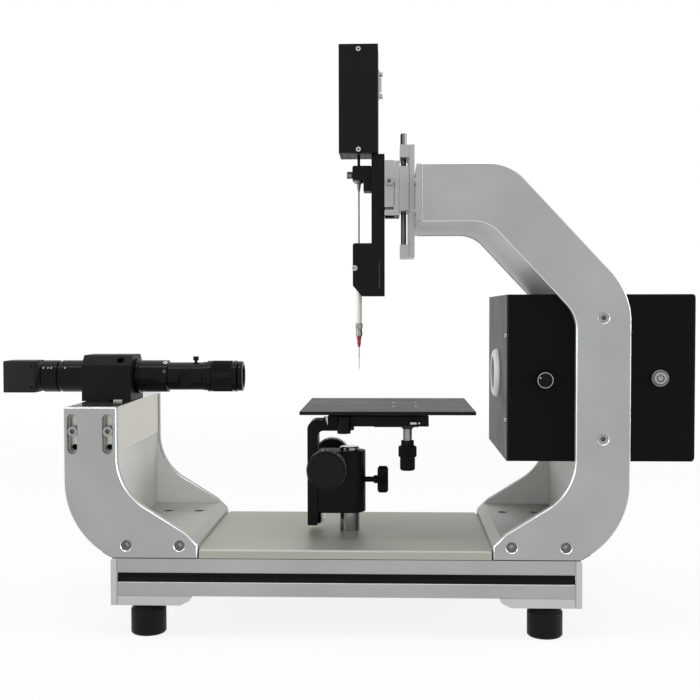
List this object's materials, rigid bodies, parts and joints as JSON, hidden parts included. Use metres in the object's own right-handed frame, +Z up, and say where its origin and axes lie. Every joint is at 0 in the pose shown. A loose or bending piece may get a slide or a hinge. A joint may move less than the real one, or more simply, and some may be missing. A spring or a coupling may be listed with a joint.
{
  "type": "contact angle goniometer",
  "caption": "Bench contact angle goniometer: camera and zoom lens on a bracket, lifting XY stage, motor syringe dispenser on an arm, and a light box in a C-shaped column.",
  "frame": {"origin": "middle of the bounding box on the bench, under the levelling feet", "axes": "+X from the camera to the light box, +Y from the front with its controls to the back, +Z up"},
  "size_m": [0.6076, 0.18, 0.5134],
  "materials": {
    "satin_aluminium": "satin anodised",
    "deck_aluminium": "satin anodised, warm grey",
    "black_anodised": "black anodised, satin",
    "stage_black": "black anodised, blasted",
    "panel_black": "black anodised, blasted",
    "mount_pale": "satin anodised, warm",
    "bright_steel": "bright",
    "black_plastic": "matt",
    "strip_plastic": "matt",
    "foot_rubber": "matt",
    "lens_black": "black anodised, gloss",
    "diffuser_white": "opal",
    "board_white": "white solder mask",
    "syringe_glass": "clear",
    "luer_nickel": "nickel plated",
    "needle_red": "gloss",
    "motor_dark": "satin"
  },
  "bodies": {
    "frame": {"base_profile": "satin_aluminium", "slot_strips": "strip_plastic", "base_end_plates": "satin_aluminium", "base_top_plate": "deck_aluminium", "foot_bars": "satin_aluminium", "bracket_plates": "satin_aluminium", "column_plates": "satin_aluminium", "foot_blocks": "satin_aluminium", "inner_webs": "satin_aluminium", "arm_web": "satin_aluminium", "outer_skins": "satin_aluminium", "arm_end_plate": "satin_aluminium", "frame_screws": "bright_steel", "light_housing": "black_anodised", "light_left_panel": "panel_black", "light_right_panel": "black_anodised", "diffuser_ring": "diffuser_white", "led_board": "board_white", "stage_post": "bright_steel", "height_rail": "satin_aluminium"},
    "foot_front_left": {"foot_front_left": "foot_rubber"},
    "foot_front_right": {"foot_front_right": "foot_rubber"},
    "foot_rear_left": {"foot_rear_left": "foot_rubber"},
    "foot_rear_right": {"foot_rear_right": "foot_rubber"},
    "camera_unit": {"camera_mount_block": "mount_pale", "slot_screws": "bright_steel", "lens_holder": "black_anodised", "camera_body": "black_anodised", "lens_tube": "lens_black", "lens_barrel": "lens_black"},
    "zoom_ring": {"zoom_ring": "lens_black"},
    "zoom_lock": {"zoom_lock_screw": "black_plastic"},
    "focus_block": {"focus_block": "black_anodised"},
    "clamp_knob": {"clamp_knob": "black_plastic"},
    "focus_drive": {"focus_shaft": "bright_steel", "focus_knobs": "black_plastic"},
    "lift": {"lift_bracket": "black_anodised", "lift_rack": "bright_steel"},
    "saddle": {"stage_saddle": "black_anodised"},
    "y_drive": {"y_drive_ring": "black_plastic"},
    "x_drive": {"x_drive_knob": "black_plastic"},
    "stage": {"x_slide": "black_anodised", "stage_plate": "stage_black"},
    "height_screw": {"height_screw": "bright_steel"},
    "height_carriage": {"height_carriage": "satin_aluminium"},
    "dispenser": {"y_slide_plate": "satin_aluminium", "dispenser_spine": "black_anodised", "pump_housing": "black_anodised", "pump_motor": "motor_dark", "data_socket": "bright_steel", "syringe_barrel": "syringe_glass", "luer_hub": "luer_nickel", "needle": "needle_red"},
    "y_screw": {"y_slide_screw": "bright_steel"},
    "syringe_clamp": {"syringe_clamp_screw": "bright_steel"},
    "plunger": {"plunger_carriage": "black_anodised", "syringe_plunger": "bright_steel"},
    "plunger_screw": {"plunger_screw": "bright_steel"},
    "dimmer": {"dimmer_knob": "black_plastic"},
    "button": {"power_button": "bright_steel"}
  },
  "joints": [
    {"name": "foot_front_left_turn", "type": "hinge", "parent": "frame", "child": "foot_front_left", "pos_m": [-0.158, -0.074, 0.013], "axis": [0, 0, 1], "range_deg": [-720, 720]},
    {"name": "foot_front_right_turn", "type": "hinge", "parent": "frame", "child": "foot_front_right", "pos_m": [0.181, -0.074, 0.013], "axis": [0, 0, 1], "range_deg": [-720, 720]},
    {"name": "foot_rear_left_turn", "type": "hinge", "parent": "frame", "child": "foot_rear_left", "pos_m": [-0.158, 0.074, 0.013], "axis": [0, 0, 1], "range_deg": [-720, 720]},
    {"name": "foot_rear_right_turn", "type": "hinge", "parent": "frame", "child": "foot_rear_right", "pos_m": [0.181, 0.074, 0.013], "axis": [0, 0, 1], "range_deg": [-720, 720]},
    {"name": "camera_height", "type": "slide", "parent": "frame", "child": "camera_unit", "axis": [0, 0, 1], "range_m": [-0.014, 0.01]},
    {"name": "zoom_turn", "type": "hinge", "parent": "camera_unit", "child": "zoom_ring", "pos_m": [-0.1061, 0, 0.2164], "axis": [1, 0, 0], "range_deg": [-120, 120]},
    {"name": "zoom_lock_turn", "type": "hinge", "parent": "camera_unit", "child": "zoom_lock", "pos_m": [-0.1289, 0, 0.2304], "axis": [0, 0, 1], "range_deg": [0, 540]},
    {"name": "focus_block_height", "type": "slide", "parent": "frame", "child": "focus_block", "axis": [0, 0, 1], "range_m": [0, 0.005]},
    {"name": "clamp_turn", "type": "hinge", "parent": "focus_block", "child": "clamp_knob", "pos_m": [0.0426, 0, 0.1215], "axis": [1, 0, 0], "range_deg": [0, 720]},
    {"name": "stage_lift", "type": "slide", "parent": "focus_block", "child": "lift", "axis": [0, 0, 1], "range_m": [-0.005, 0.013]},
    {"name": "focus_turn", "type": "hinge", "parent": "focus_block", "child": "focus_drive", "pos_m": [-0.006, 0, 0.137], "axis": [0, 1, 0], "range_deg": [-60, 156]},
    {"name": "stage_y", "type": "slide", "parent": "lift", "child": "saddle", "axis": [0, 1, 0], "range_m": [-0.015, 0.015]},
    {"name": "y_drive_turn", "type": "hinge", "parent": "saddle", "child": "y_drive", "pos_m": [0.0654, -0.02, 0.15], "axis": [0, 0, 1], "range_deg": [-144, 144]},
    {"name": "stage_x", "type": "slide", "parent": "saddle", "child": "stage", "axis": [1, 0, 0], "range_m": [-0.015, 0.015]},
    {"name": "x_drive_turn", "type": "hinge", "parent": "saddle", "child": "x_drive", "pos_m": [0.0654, -0.02, 0.138], "axis": [0, 0, 1], "range_deg": [-144, 144]},
    {"name": "dispenser_height", "type": "slide", "parent": "frame", "child": "height_carriage", "axis": [0, 0, 1], "range_m": [-0.012, 0.007]},
    {"name": "height_screw_turn", "type": "hinge", "parent": "frame", "child": "height_screw", "pos_m": [0.0621, 0, 0.43], "axis": [0, 0, 1], "range_deg": [-1261, 2161]},
    {"name": "dispenser_y", "type": "slide", "parent": "height_carriage", "child": "dispenser", "axis": [0, 1, 0], "range_m": [-0.006, 0.006]},
    {"name": "y_screw_turn", "type": "hinge", "parent": "dispenser", "child": "y_screw", "pos_m": [0.049, -0.022, 0.3913], "axis": [0, 1, 0], "range_deg": [-2161, 2161]},
    {"name": "syringe_clamp_turn", "type": "hinge", "parent": "dispenser", "child": "syringe_clamp", "pos_m": [0.018, -0.016, 0.3145], "axis": [0, -1, 0], "range_deg": [0, 720]},
    {"name": "plunger_travel", "type": "slide", "parent": "dispenser", "child": "plunger", "axis": [0, 0, 1], "range_m": [-0.04, 0.007]},
    {"name": "plunger_screw_turn", "type": "hinge", "parent": "plunger", "child": "plunger_screw", "pos_m": [0.0124, 0, 0.3995], "axis": [-1, 0, 0], "range_deg": [0, 720]},
    {"name": "dimmer_turn", "type": "hinge", "parent": "frame", "child": "dimmer", "pos_m": [0.1788, -0.086, 0.218], "axis": [0, 1, 0], "range_deg": [-95, 185]},
    {"name": "button_press", "type": "slide", "parent": "frame", "child": "button", "axis": [0, 1, 0], "range_m": [0, 0.0015], "stiffness_N_per_m": 800, "springref_m": -0.0005}
  ],
  "couplings": [
    {"joint": "focus_turn", "follows": "stage_lift", "rad_per_m": 208.33},
    {"joint": "y_drive_turn", "follows": "stage_y", "rad_per_m": 166.67},
    {"joint": "x_drive_turn", "follows": "stage_x", "rad_per_m": 166.67},
    {"joint": "height_screw_turn", "follows": "dispenser_height", "rad_per_m": -3141.6},
    {"joint": "y_screw_turn", "follows": "dispenser_y", "rad_per_m": 6283.2}
  ]
}
